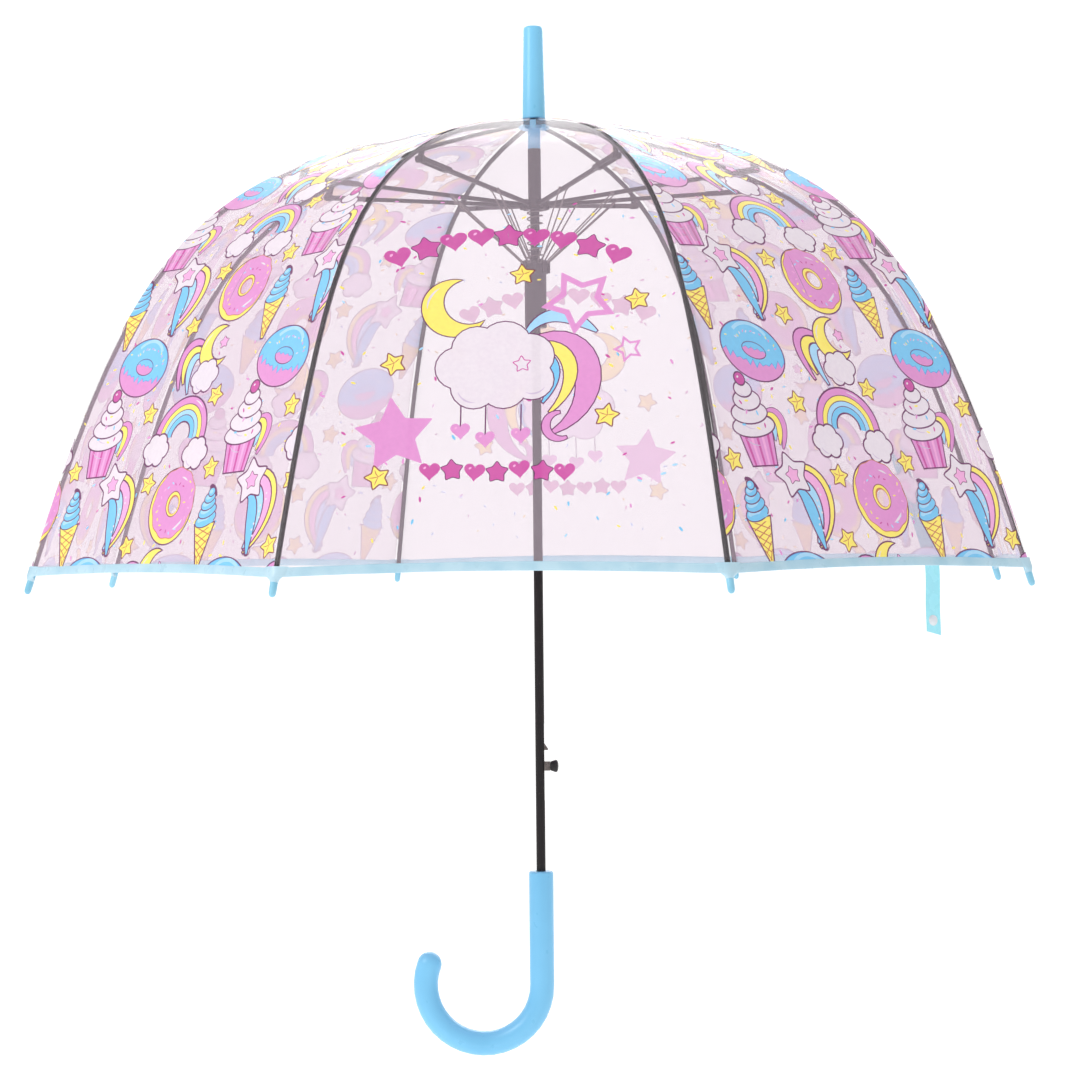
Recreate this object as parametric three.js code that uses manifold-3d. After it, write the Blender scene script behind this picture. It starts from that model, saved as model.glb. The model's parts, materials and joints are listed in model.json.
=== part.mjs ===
// Children's dome umbrella with a spring-opened frame of eight ribs and a clear film canopy.
// Millimetres, +Z up, origin where the shaft enters the top of the handle.
import * as THREE from 'three';
import { mergeVertices } from 'three/addons/utils/BufferGeometryUtils.js';
import Module from 'manifold-3d';

const wasm = await Module();
wasm.setup();

// ---- driving dimensions -------------------------------------------------------------
const RIB_COUNT = 8;
const SECTOR = (2 * Math.PI) / RIB_COUNT;
const HALF_SECTOR = SECTOR / 2;

// Canopy line in the plane of a rib: [radius, height] control points of one cubic curve.
const CANOPY_LINE = [[7, 488.2], [233, 463], [266.7, 395.4], [334.8, 185.3]];
const CANOPY_STATIONS = 20;
const FILM_HALF_THICKNESS = 0.3;
const FILM_EDGE_GAP = 0.15;
const HEM_Z = 198.4;
const HEM_RISE = 2.6;

const RIB_INSET = 2.3;
const RIB_HALF_WIDTH = 1.5;
const RIB_HALF_HEIGHT = 1.2;
const RIB_PIVOT = [8, 485.6];
const RIB_TIP_LENGTH = 13.5;

const SHAFT_R = 3;
const SHAFT_BOTTOM = -42;
const SHAFT_TOP = 530;
const FIXED_BORE_R = 3.08;
const SLIDING_BORE_R = 3.3;

const HANDLE_R = 8;
const HANDLE_STRAIGHT = 74;
const HOOK_R = 38;
const HOOK_SWEEP = Math.PI * 1.117;

const FERRULE_BOTTOM = 488.9;
const FERRULE_TOP = 549;

const CROWN = { radius: 10, bottom: 482, top: 487.3, slotFloor: 5.9, slotHalf: 1.9 };
const CROWN_SLEEVE = { radius: 4.05, bottom: 469.5 };
const STOP_SLEEVE = { radius: 4.2, bottom: 436.6, top: 469.2 };
const HUB = { radius: 9.7, bottom: 429.8, top: 436.2, slotFloor: 5.9, slotHalf: 1.8 };
const HUB_PIVOT = [8, 433];
const RUNNER_PIVOT = [8.2, 395];
const STRETCHER_JOINT = [155, 446.5];
const WIRE_ATTACH = 49;
const FORK_DEPTH = 30;

const BUTTON_Z = 68.3;
const TOOTH_TOP = 85.8;
const TOOTH_BOTTOM = 78.7;

const STRAP_WIDTH = 10.5;
const STRAP_FROM_RIB = 53;
const STRAP_TOP_Z = 276;
const STRAP_END_Z = 150;
const STRAP_FLARE = 5;
const SNAP_Z = 158.5;

// ---- materials ----------------------------------------------------------------------
const SLOTS = {
  blue_plastic: { color: 0x85d2fa, roughness: 0.42 },
  black_metal: { color: 0x2e2a2b, roughness: 0.45, metalness: 0.4 },
  black_plastic: { color: 0x1d1b1c, roughness: 0.5 },
  spring_steel: { color: 0x8c847c, roughness: 0.35, metalness: 0.9 },
  clear_film: { color: 0xf3ebf0, roughness: 0.15, transparent: true, opacity: 0.35 },
  blue_film: { color: 0x8ce4fa, roughness: 0.2, transparent: true, opacity: 0.8 },
  clear_snap: { color: 0xf4f6f8, roughness: 0.3 },
};

const group = new THREE.Group();
group.name = 'childrens_umbrella';

function addNode(name, slot, geometry) {
  const material = new THREE.MeshStandardMaterial({ side: THREE.DoubleSide, ...SLOTS[slot] });
  material.name = slot;
  const mesh = new THREE.Mesh(geometry, material);
  mesh.name = name;
  group.add(mesh);
}

// ---- geometry helpers ---------------------------------------------------------------
function weld(geometry) {
  const plain = geometry.clone();
  plain.deleteAttribute('normal');
  plain.deleteAttribute('uv');
  return mergeVertices(plain, 1e-4);
}

function outward(geometry) {
  const welded = weld(geometry);
  const p = welded.getAttribute('position');
  const index = welded.getIndex();
  const a = new THREE.Vector3();
  const b = new THREE.Vector3();
  const c = new THREE.Vector3();
  let volume = 0;
  for (let i = 0; i < index.count; i += 3) {
    a.fromBufferAttribute(p, index.getX(i));
    b.fromBufferAttribute(p, index.getX(i + 1));
    c.fromBufferAttribute(p, index.getX(i + 2));
    volume += a.dot(b.cross(c));
  }
  if (volume < 0) {
    for (let i = 0; i < index.count; i += 3) {
      const first = index.getX(i);
      index.setX(i, index.getX(i + 1));
      index.setX(i + 1, first);
    }
  }
  welded.computeVertexNormals();
  return welded;
}

function solid(geometry) {
  const welded = outward(geometry);
  const mesh = new wasm.Mesh({
    numProp: 3,
    vertProperties: new Float32Array(welded.getAttribute('position').array),
    triVerts: new Uint32Array(welded.getIndex().array),
  });
  return new wasm.Manifold(mesh);
}

function fromSolid(manifold) {
  const mesh = manifold.getMesh();
  const geometry = new THREE.BufferGeometry();
  const positions = new Float32Array(mesh.vertProperties);
  geometry.setAttribute('position', new THREE.BufferAttribute(positions, 3));
  geometry.setIndex(new THREE.BufferAttribute(new Uint32Array(mesh.triVerts), 1));
  geometry.computeVertexNormals();
  return geometry;
}

function box(x0, x1, y0, y1, z0, z1) {
  const geometry = new THREE.BoxGeometry(x1 - x0, y1 - y0, z1 - z0);
  return geometry.translate((x0 + x1) / 2, (y0 + y1) / 2, (z0 + z1) / 2);
}

// Solid of revolution about Z from [radius, z] points.
function turned(profile, segments = 24) {
  const points = profile.map(([r, z]) => new THREE.Vector2(r, z));
  return outward(new THREE.LatheGeometry(points, segments).rotateX(Math.PI / 2));
}

// Ring about Z: the outer [radius, z] points run upwards and the bore closes them.
function ring(outer, boreR, segments = 24) {
  const low = outer[0][1];
  const high = outer[outer.length - 1][1];
  return turned([...outer, [boreR, high], [boreR, low], outer[0]], segments);
}

// Cylinder along Y, centred on the XZ plane.
function crossPin(radius, halfLength, x, z, segments = 12) {
  const geometry = new THREE.CylinderGeometry(radius, radius, halfLength * 2, segments);
  return geometry.translate(x, 0, z);
}

// Convex section [across, beside] swept along a flat path of [u, v] points.
// place(u, v, beside) gives the position of a point that stands `beside` out of the plane.
function sweep(path, section, place) {
  const positions = [];
  const indices = [];
  const n = section.length;
  path.forEach((point, i) => {
    const before = path[Math.max(i - 1, 0)];
    const after = path[Math.min(i + 1, path.length - 1)];
    const inDir = new THREE.Vector2(point[0] - before[0], point[1] - before[1]);
    const outDir = new THREE.Vector2(after[0] - point[0], after[1] - point[1]);
    if (i === 0) inDir.copy(outDir);
    if (i === path.length - 1) outDir.copy(inDir);
    inDir.normalize();
    outDir.normalize();
    const along = inDir.clone().add(outDir).normalize();
    const stretch = 1 / along.dot(outDir);
    section.forEach(([across, beside]) => {
      const u = point[0] - along.y * across * stretch;
      const v = point[1] + along.x * across * stretch;
      positions.push(...place(u, v, beside));
    });
    if (i === 0) return;
    for (let k = 0; k < n; k += 1) {
      const next = (k + 1) % n;
      const a = (i - 1) * n + k;
      const b = (i - 1) * n + next;
      indices.push(a, b, b + n, a, b + n, a + n);
    }
  });
  const last = (path.length - 1) * n;
  for (let k = 1; k < n - 1; k += 1) {
    indices.push(0, k + 1, k);
    indices.push(last, last + k, last + k + 1);
  }
  const geometry = new THREE.BufferGeometry();
  geometry.setAttribute('position', new THREE.Float32BufferAttribute(positions, 3));
  geometry.setIndex(indices);
  return outward(geometry);
}

// Sheet with thickness from two grids of points: inner[row][column] and outer[row][column].
function sheet(inner, outer) {
  const rows = inner.length;
  const columns = inner[0].length;
  const count = rows * columns;
  const positions = [...inner.flat(2), ...outer.flat(2)];
  const indices = [];
  const at = (i, j) => i * columns + j;
  for (let i = 0; i < rows - 1; i += 1) {
    for (let j = 0; j < columns - 1; j += 1) {
      const quad = [at(i, j), at(i + 1, j), at(i + 1, j + 1), at(i, j + 1)];
      indices.push(quad[0], quad[1], quad[2], quad[0], quad[2], quad[3]);
      const far = quad.map((q) => q + count);
      indices.push(far[0], far[2], far[1], far[0], far[3], far[2]);
    }
  }
  const rim = [];
  for (let j = 0; j < columns; j += 1) rim.push(at(0, j));
  for (let i = 1; i < rows; i += 1) rim.push(at(i, columns - 1));
  for (let j = columns - 2; j >= 0; j -= 1) rim.push(at(rows - 1, j));
  for (let i = rows - 2; i > 0; i -= 1) rim.push(at(i, 0));
  rim.forEach((a, k) => {
    const b = rim[(k + 1) % rim.length];
    indices.push(a, b, b + count, a, b + count, a + count);
  });
  const geometry = new THREE.BufferGeometry();
  geometry.setAttribute('position', new THREE.Float32BufferAttribute(positions, 3));
  geometry.setIndex(indices);
  return outward(geometry);
}

function aroundAxis(geometry, angle) {
  return geometry.clone().rotateZ(angle);
}

// ---- canopy line --------------------------------------------------------------------
function canopyPoint(t, offset = 0) {
  const s = 1 - t;
  const weights = [s * s * s, 3 * s * s * t, 3 * s * t * t, t * t * t];
  const slopes = [-3 * s * s, 3 * s * s - 6 * s * t, 6 * s * t - 3 * t * t, 3 * t * t];
  const point = [0, 0];
  const slope = [0, 0];
  CANOPY_LINE.forEach((control, k) => {
    point[0] += weights[k] * control[0];
    point[1] += weights[k] * control[1];
    slope[0] += slopes[k] * control[0];
    slope[1] += slopes[k] * control[1];
  });
  const length = Math.hypot(slope[0], slope[1]);
  return [point[0] - (slope[1] / length) * offset, point[1] + (slope[0] / length) * offset];
}

function solveLine(test) {
  let low = 0;
  let high = 1;
  for (let k = 0; k < 50; k += 1) {
    const middle = (low + high) / 2;
    if (test(canopyPoint(middle))) high = middle;
    else low = middle;
  }
  return (low + high) / 2;
}

const lineAtHeight = (z) => solveLine((p) => p[1] < z);
const lineAtRadius = (r) => solveLine((p) => p[0] > r);
const hemT = lineAtHeight(HEM_Z);
const hemMidT = lineAtHeight(HEM_Z + HEM_RISE);

// ---- shaft, sleeves, ferrule --------------------------------------------------------
function shaftTube() {
  const rod = turned([
    [0, SHAFT_BOTTOM],
    [SHAFT_R - 0.3, SHAFT_BOTTOM],
    [SHAFT_R, SHAFT_BOTTOM + 0.3],
    [SHAFT_R, SHAFT_TOP - 0.5],
    [SHAFT_R - 0.5, SHAFT_TOP],
    [0, SHAFT_TOP],
  ]);
  const slot = solid(box(-2.25, 5, -1.05, 1.05, 46, 96));
  return fromSolid(solid(rod).subtract(slot));
}

function ferrule() {
  const wall = turned([
    [0, SHAFT_TOP + 1],
    [FIXED_BORE_R, SHAFT_TOP + 1],
    [FIXED_BORE_R, FERRULE_BOTTOM],
    [7.1, FERRULE_BOTTOM],
    [7.5, FERRULE_BOTTOM + 0.5],
    [7.3, FERRULE_BOTTOM + 12],
    [6.35, FERRULE_TOP - 2.2],
    [6.1, FERRULE_TOP - 1],
    [5.4, FERRULE_TOP - 0.25],
    [4.6, FERRULE_TOP],
    [0, FERRULE_TOP],
  ], 32);
  return wall;
}

function slottedRing({ radius, bottom, top, slotFloor, slotHalf }, boreR) {
  const bevel = 0.5;
  const outline = [
    [radius - bevel, bottom], [radius, bottom + bevel],
    [radius, top - bevel], [radius - bevel, top],
  ];
  let body = solid(ring(outline, boreR, 32));
  for (let i = 0; i < RIB_COUNT; i += 1) {
    const slot = box(slotFloor, radius + 2, -slotHalf, slotHalf, bottom - 1, top + 1);
    body = body.subtract(solid(aroundAxis(slot, (i + 0.5) * SECTOR)));
  }
  return body;
}

function crown() {
  const { radius, bottom } = CROWN_SLEEVE;
  const sleeve = solid(ring([[radius, bottom], [radius, CROWN.bottom + 2]], FIXED_BORE_R, 32));
  return fromSolid(slottedRing(CROWN, FIXED_BORE_R).add(sleeve));
}

function stopSleeve() {
  const { radius, bottom, top } = STOP_SLEEVE;
  return ring([[radius - 0.3, bottom], [radius, bottom + 0.3], [radius, top]], FIXED_BORE_R);
}

function handle() {
  const path = [[0, -0.9], [0, -HANDLE_STRAIGHT]];
  const steps = 22;
  for (let k = 1; k <= steps; k += 1) {
    const angle = (HOOK_SWEEP * k) / steps;
    path.push([-HOOK_R + HOOK_R * Math.cos(angle), -HANDLE_STRAIGHT - HOOK_R * Math.sin(angle)]);
  }
  const section = [];
  for (let k = 0; k < 24; k += 1) {
    const angle = (2 * Math.PI * k) / 24;
    section.push([HANDLE_R * Math.cos(angle), HANDLE_R * Math.sin(angle)]);
  }
  const hook = solid(sweep(path, section, (u, v, beside) => [u, beside, v]));
  const rim = [[0, -2], [HANDLE_R, -2], [HANDLE_R, -0.9], [HANDLE_R - 0.9, 0], [0, 0]];
  const collar = solid(turned(rim));
  const end = path[path.length - 1];
  const knob = new THREE.SphereGeometry(HANDLE_R, 24, 16).rotateX(Math.PI / 2);
  const rounded = solid(knob.translate(end[0], 0, end[1]));
  const floor = SHAFT_BOTTOM - 0.6;
  const bore = solid(turned([[0, floor], [FIXED_BORE_R, floor], [FIXED_BORE_R, 1], [0, 1]]));
  return fromSolid(hook.add(collar).add(rounded).subtract(bore));
}

addNode('shaft_tube', 'black_metal', shaftTube());
addNode('handle', 'blue_plastic', handle());
addNode('ferrule', 'blue_plastic', ferrule());
addNode('stop_sleeve', 'black_plastic', stopSleeve());
addNode('crown', 'blue_plastic', crown());

// ---- release button -----------------------------------------------------------------
function releaseSpring() {
  const outline = [
    [0.4, 50], [1.1, 50], [1.1, BUTTON_Z - 3], [6.5, BUTTON_Z - 3], [6.5, BUTTON_Z + 3],
    [1.1, BUTTON_Z + 3], [1.1, TOOTH_BOTTOM], [5.3, TOOTH_BOTTOM], [5.3, TOOTH_BOTTOM + 0.8],
    [1.1, TOOTH_TOP], [1.1, 92], [0.4, 92],
  ];
  const shape = new THREE.Shape(outline.map(([x, z]) => new THREE.Vector2(x, z)));
  const leaf = new THREE.ExtrudeGeometry(shape, { depth: 1.7, bevelEnabled: false });
  return outward(leaf.translate(0, 0, -0.85).rotateX(Math.PI / 2));
}

function buttonCap() {
  const cap = turned([[0, 6.7], [2.9, 6.7], [4.15, 10.3], [3.7, 11.2], [2.1, 11.8], [0, 12]]);
  return cap.rotateY(Math.PI / 2).translate(0, 0, BUTTON_Z);
}

addNode('release_spring', 'spring_steel', releaseSpring());
addNode('button_cap', 'black_plastic', buttonCap());

// ---- hub, runner, mainspring --------------------------------------------------------
function runner() {
  let body = solid(ring([
    [6.7, 353], [7.1, 353.5], [7.1, 388.4], [9.3, 388.4], [9.7, 388.9], [9.7, 396], [9.2, 396.5],
  ], SLIDING_BORE_R, 32));
  for (let i = 0; i < RIB_COUNT; i += 1) {
    const slot = box(7, 12, -2.1, 2.1, 387, 398);
    body = body.subtract(solid(aroundAxis(slot, (i + 0.5) * SECTOR)));
  }
  const window = box(2, 9, -1.1, 1.1, 357, 383);
  return fromSolid(body.subtract(solid(window)));
}

class Coil extends THREE.Curve {
  getPoint(t, target = new THREE.Vector3()) {
    const angle = 2 * Math.PI * 8 * t;
    const z = 397.5 + 31.5 * (t + 0.03 * Math.sin(4 * Math.PI * t - Math.PI));
    return target.set(4.95 * Math.cos(angle), 4.95 * Math.sin(angle), z);
  }
}

function mainspring() {
  const section = new THREE.Shape();
  section.absarc(0, 0, 0.5, 0, 2 * Math.PI, false);
  const options = { steps: 112, curveSegments: 6, extrudePath: new Coil(), bevelEnabled: false };
  return outward(new THREE.ExtrudeGeometry(section, options));
}

addNode('hub', 'black_plastic', fromSolid(slottedRing(HUB, SLIDING_BORE_R)));
addNode('runner', 'black_plastic', runner());
addNode('mainspring', 'spring_steel', mainspring());

// ---- rib, tip, stretcher, wire pair: built in the XZ plane, then turned to each azimuth
const stretcherT = lineAtRadius(STRETCHER_JOINT[0] - 1.5);

function chamferedBar(w, h) {
  const side = [[-h, 0.9], [-h + 0.6, w], [h - 0.6, w], [h, 0.9]];
  return [...side, ...side.map(([v, beside]) => [v, -beside]).reverse()];
}

function rib() {
  const path = [[RIB_PIVOT[0] - 0.6, RIB_PIVOT[1] + 0.05]];
  const tipT = lineAtHeight(190.5);
  for (let k = 1; k <= CANOPY_STATIONS; k += 1) {
    path.push(canopyPoint((hemT * k) / CANOPY_STATIONS, -RIB_INSET));
  }
  path.push(canopyPoint(tipT, -RIB_INSET));
  const w = RIB_HALF_WIDTH;
  const section = chamferedBar(w, RIB_HALF_HEIGHT);
  const bar = solid(sweep(path, section, (u, v, beside) => [u, beside, v]));
  const eye = solid(crossPin(1.5, w, RIB_PIVOT[0], RIB_PIVOT[1]));
  const top = canopyPoint(stretcherT, -RIB_INSET);
  const lean = Math.atan2(top[0] - STRETCHER_JOINT[0], top[1] - STRETCHER_JOINT[1]);
  const drop = Math.hypot(top[0] - STRETCHER_JOINT[0], top[1] - STRETCHER_JOINT[1]);
  const ear = box(-2.2, 2.2, -0.8, 0.8, 0, drop).rotateY(lean);
  const lug = solid(ear.translate(STRETCHER_JOINT[0], 0, STRETCHER_JOINT[1]));
  const boss = solid(crossPin(2.2, 1.3, STRETCHER_JOINT[0], STRETCHER_JOINT[1], 16));
  return fromSolid(bar.add(eye).add(lug).add(boss));
}

function ribTip() {
  const upper = canopyPoint(hemT, -RIB_INSET);
  const lower = canopyPoint(lineAtHeight(HEM_Z - 12), -RIB_INSET);
  const lean = Math.atan2(lower[0] - upper[0], upper[1] - lower[1]);
  const length = RIB_TIP_LENGTH;
  const cap = turned([
    [0, -length], [0.9, -length + 0.15], [1.7, -length + 0.9], [2.1, -length + 2.2], [2.2, -6],
    [2.05, -0.6], [1.95, -0.4], [1.68, -0.4], [1.68, -9.6], [0, -9.6],
  ], 12);
  return cap.rotateY(-lean).translate(upper[0], 0, upper[1]);
}

function stretcher() {
  const [x0, z0] = HUB_PIVOT;
  const length = Math.hypot(STRETCHER_JOINT[0] - x0, STRETCHER_JOINT[1] - z0);
  const rise = Math.atan2(STRETCHER_JOINT[1] - z0, STRETCHER_JOINT[0] - x0);
  const root = length - FORK_DEPTH;
  const w = 1.4;
  const section = chamferedBar(w, 1.3);
  let body = solid(sweep([[0, 0], [root, 0]], section, (u, v, beside) => [u, beside, v]));
  body = body.add(solid(crossPin(1.6, w, 0, 0)));
  body = body.add(solid(box(root - 6, root, -2.7, 2.7, -1.5, 1.5)));
  for (const side of [-1, 1]) {
    const inner = Math.min(side * 1.85, side * 2.7);
    body = body.add(solid(box(root - 3, length, inner, inner + 0.85, -1.5, 1.5)));
    body = body.add(solid(crossPin(2.1, 0.425, length, 0, 16).translate(0, inner + 0.425, 0)));
  }
  return fromSolid(body).rotateY(-rise).translate(x0, 0, z0);
}

function wirePair() {
  const [x0, z0] = RUNNER_PIVOT;
  const rise = Math.atan2(STRETCHER_JOINT[1] - HUB_PIVOT[1], STRETCHER_JOINT[0] - HUB_PIVOT[0]);
  const x1 = HUB_PIVOT[0] + WIRE_ATTACH * Math.cos(rise);
  const z1 = HUB_PIVOT[1] + WIRE_ATTACH * Math.sin(rise);
  const length = Math.hypot(x1 - x0, z1 - z0);
  const section = [];
  for (let k = 0; k < 8; k += 1) {
    const angle = (2 * Math.PI * k) / 8;
    section.push([0.5 * Math.cos(angle), 0.5 * Math.sin(angle)]);
  }
  const arm = [[length, 2.35], [4, 1.45], [0.6, 1.3], [0, 0.8]];
  const path = [...arm, ...arm.map(([along, beside]) => [along, -beside]).reverse()];
  let body = solid(sweep(path, section, (u, v, beside) => [u, v, beside]));
  for (const side of [-1, 1]) {
    body = body.add(solid(crossPin(1.25, 0.5, length, 0).translate(0, side * 2.35, 0)));
  }
  return fromSolid(body).rotateY(-Math.atan2(z1 - z0, x1 - x0)).translate(x0, 0, z0);
}

const ribGeometry = rib();
const tipGeometry = ribTip();
const stretcherGeometry = stretcher();
const wireGeometry = wirePair();

// ---- canopy: each panel in two halves, split on its middle line ----------------------
// Half a panel beside the rib in the XZ plane, on the +Y side when side is 1.
function chordPoint(t, offset, share) {
  const [r, z] = canopyPoint(t, offset);
  const m = r * Math.cos(HALF_SECTOR);
  const x = (1 - share) * r + share * m * Math.cos(HALF_SECTOR);
  const y = share * m * Math.sin(HALF_SECTOR);
  return [x, y, z];
}

function panelHalf(side) {
  const shares = [0, 0.5, 1];
  const grid = (offset) => {
    const rows = [];
    for (let i = 0; i <= CANOPY_STATIONS; i += 1) {
      rows.push(shares.map((share) => {
        const end = hemT + (hemMidT - hemT) * Math.sin((share * Math.PI) / 2);
        const t = (end * i) / CANOPY_STATIONS;
        const point = chordPoint(t, offset, share);
        if (share === 0) point[1] += FILM_EDGE_GAP;
        if (share === 1) {
          point[0] += FILM_EDGE_GAP * Math.sin(HALF_SECTOR);
          point[1] -= FILM_EDGE_GAP * Math.cos(HALF_SECTOR);
        }
        return [point[0], side * point[1], point[2]];
      }));
    }
    return rows;
  };
  return sheet(grid(-FILM_HALF_THICKNESS), grid(FILM_HALF_THICKNESS));
}

const panelGeometry = { a: panelHalf(-1), b: panelHalf(1) };

for (let i = 0; i < RIB_COUNT; i += 1) {
  const angle = (i + 0.5) * SECTOR;
  const number = i + 1;
  addNode(`rib_${number}`, 'black_metal', aroundAxis(ribGeometry, angle));
  addNode(`rib_tip_${number}`, 'blue_plastic', aroundAxis(tipGeometry, angle));
  addNode(`stretcher_${number}`, 'black_metal', aroundAxis(stretcherGeometry, angle));
  addNode(`wire_pair_${number}`, 'spring_steel', aroundAxis(wireGeometry, angle));
  addNode(`panel_${number}a`, 'clear_film', aroundAxis(panelGeometry.a, angle));
  addNode(`panel_${number}b`, 'clear_film', aroundAxis(panelGeometry.b, angle));
}

// ---- closing strap on the first panel ------------------------------------------------
function strapFrame(z, lift) {
  const t = lineAtHeight(Math.max(z, HEM_Z + 1));
  const [r, lineZ] = canopyPoint(t, lift);
  const edge = [r, 0];
  const toMiddle = [-Math.sin(HALF_SECTOR), Math.cos(HALF_SECTOR)];
  const below = Math.max(HEM_Z + 1 - z, 0);
  const flare = STRAP_FLARE * (1 - Math.exp(-below / 16));
  const out = [Math.cos(HALF_SECTOR) * flare, Math.sin(HALF_SECTOR) * flare];
  return (along) => [
    edge[0] + toMiddle[0] * along + out[0],
    edge[1] + toMiddle[1] * along + out[1],
    lineZ - below,
  ];
}

function strap() {
  const rows = 16;
  const grid = (lift) => {
    const points = [];
    for (let i = 0; i <= rows; i += 1) {
      const z = STRAP_TOP_Z + ((STRAP_END_Z - STRAP_TOP_Z) * i) / rows;
      const at = strapFrame(z, lift);
      const row = [-0.5, 0.5].map((half) => at(STRAP_FROM_RIB + half * STRAP_WIDTH));
      if (i === rows) row[0][2] -= 2.5;
      points.push(row);
    }
    return points;
  };
  return sheet(grid(0.75), grid(1.25));
}

function strapSnap() {
  const at = strapFrame(SNAP_Z, 1.4);
  const centre = at(STRAP_FROM_RIB);
  const cap = turned([[0, 0], [4, 0], [4, 0.9], [3.4, 1.4], [2, 1.4], [1.6, 0.9], [0, 0.9]], 24);
  return cap.rotateY(Math.PI / 2).rotateZ(HALF_SECTOR).translate(centre[0], centre[1], centre[2]);
}

addNode('strap', 'blue_film', aroundAxis(strap(), HALF_SECTOR));
addNode('strap_snap', 'clear_snap', aroundAxis(strapSnap(), HALF_SECTOR));

export default group;
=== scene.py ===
"""Looks of a children's clear dome umbrella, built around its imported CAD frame."""
import json
import math
import random

import bpy
import numpy as np
from mathutils import Matrix, Vector, geometry


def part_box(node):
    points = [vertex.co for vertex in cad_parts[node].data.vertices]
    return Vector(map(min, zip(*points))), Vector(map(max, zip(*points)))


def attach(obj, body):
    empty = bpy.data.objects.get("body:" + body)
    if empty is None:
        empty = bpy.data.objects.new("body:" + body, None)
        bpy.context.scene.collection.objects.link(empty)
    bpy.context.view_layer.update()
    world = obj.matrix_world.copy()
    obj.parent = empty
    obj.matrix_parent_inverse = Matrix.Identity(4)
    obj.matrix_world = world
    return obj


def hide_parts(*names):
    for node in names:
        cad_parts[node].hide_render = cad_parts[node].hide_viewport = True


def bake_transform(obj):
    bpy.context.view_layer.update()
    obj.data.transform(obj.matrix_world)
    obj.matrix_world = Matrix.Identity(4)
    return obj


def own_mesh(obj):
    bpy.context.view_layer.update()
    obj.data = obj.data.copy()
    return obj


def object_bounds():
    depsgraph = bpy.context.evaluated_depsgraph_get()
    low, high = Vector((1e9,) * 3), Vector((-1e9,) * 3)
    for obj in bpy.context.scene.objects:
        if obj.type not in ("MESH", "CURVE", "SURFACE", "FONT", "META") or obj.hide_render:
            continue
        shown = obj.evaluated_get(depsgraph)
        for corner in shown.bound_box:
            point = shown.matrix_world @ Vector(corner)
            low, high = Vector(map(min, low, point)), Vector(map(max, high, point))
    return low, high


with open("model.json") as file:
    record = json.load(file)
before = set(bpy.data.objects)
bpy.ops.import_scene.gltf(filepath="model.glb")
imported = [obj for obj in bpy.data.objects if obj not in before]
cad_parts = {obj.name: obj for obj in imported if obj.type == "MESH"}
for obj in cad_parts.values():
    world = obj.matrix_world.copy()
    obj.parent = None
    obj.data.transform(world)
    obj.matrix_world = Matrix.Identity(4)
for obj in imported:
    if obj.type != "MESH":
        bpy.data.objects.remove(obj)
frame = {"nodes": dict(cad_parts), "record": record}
cad_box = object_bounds()

# ---- driving dimensions, millimetres ---------------------------------------------------
MM = 0.001
RIBS = 8
SECTOR = math.tau / RIBS
HALF = SECTOR / 2
COS_HALF = math.cos(HALF)
SIN_HALF = math.sin(HALF)

CANOPY_LINE = ((7, 488.2), (233, 463), (266.7, 395.4), (334.8, 185.3))
HEM_Z = 198.4
HEM_RISE = 2.6
FILM_HALF_THICKNESS = 0.09
PRINT_LIFT = 0.16
PANEL_SAG = 1.6
SEAM_HALF_WIDTH = 2.6
RIPPLE = 0.35
BINDING_HALF_HEIGHT = 2.7
BINDING_HALF_THICKNESS = 0.55

WELD_HALF_WIDTH = 3.0
PRINT_EDGE_GAP = 0.4
PRINT_MESH_PITCH = 7.0

STRAP_WIDTH = 13
STRAP_FROM_RIB = 59
STRAP_TOP_Z = 276
STRAP_END_Z = 148.5
STRAP_FLARE = 1.5
STRAP_SLANT = 2.5
SNAP_Z = 156.5
SNAP_LIFT = 0.98

# Metres from here on, as for every object.
FLOOR_DROP = 0.33
FLOOR_HALF_WIDTH = 4.0
FLOOR_FRONT = -3.0
COVE_START = 2.2
COVE_RADIUS = 1.2
BACKDROP_TOP = 4.5
LIGHT_TARGET = (0, 0, 0.3)

CAMERA_DISTANCE = 2.022
CAMERA_HEIGHT = 0.2152
CAMERA_AZIMUTH = math.radians(3.9)
CAMERA_ROLL = math.radians(-0.55)
CAMERA_LENS = 103.7
CAMERA_SHIFT_X = 0.0019

random.seed(7)


# ---- canopy surface --------------------------------------------------------------------
def canopy_point(t, offset=0.0):
    """(radius, height) on a rib's canopy line, moved outwards by offset."""
    s = 1 - t
    weights = (s**3, 3 * s * s * t, 3 * s * t * t, t**3)
    slopes = (-3 * s * s, 3 * s * s - 6 * s * t, 6 * s * t - 3 * t * t, 3 * t * t)
    r = sum(w * p[0] for w, p in zip(weights, CANOPY_LINE))
    z = sum(w * p[1] for w, p in zip(weights, CANOPY_LINE))
    dr = sum(w * p[0] for w, p in zip(slopes, CANOPY_LINE))
    dz = sum(w * p[1] for w, p in zip(slopes, CANOPY_LINE))
    length = math.hypot(dr, dz)
    return r - dz / length * offset, z + dr / length * offset


def t_at_height(z):
    """Canopy parameter at a height, by halving."""
    low, high = 0.0, 1.0
    for _ in range(40):
        middle = (low + high) / 2
        if canopy_point(middle)[1] < z:
            high = middle
        else:
            low = middle
    return (low + high) / 2


HEM_T = t_at_height(HEM_Z)
HEM_MID_T = t_at_height(HEM_Z + HEM_RISE)


def hem_t(share):
    """Canopy parameter of the hem; share is 0 at a rib and 1 on a panel's middle line."""
    return HEM_T + (HEM_MID_T - HEM_T) * math.sin(share * math.pi / 2)


def half_width(t):
    """Half the width of a panel, from its middle line to a rib."""
    return canopy_point(t)[0] * SIN_HALF


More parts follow.
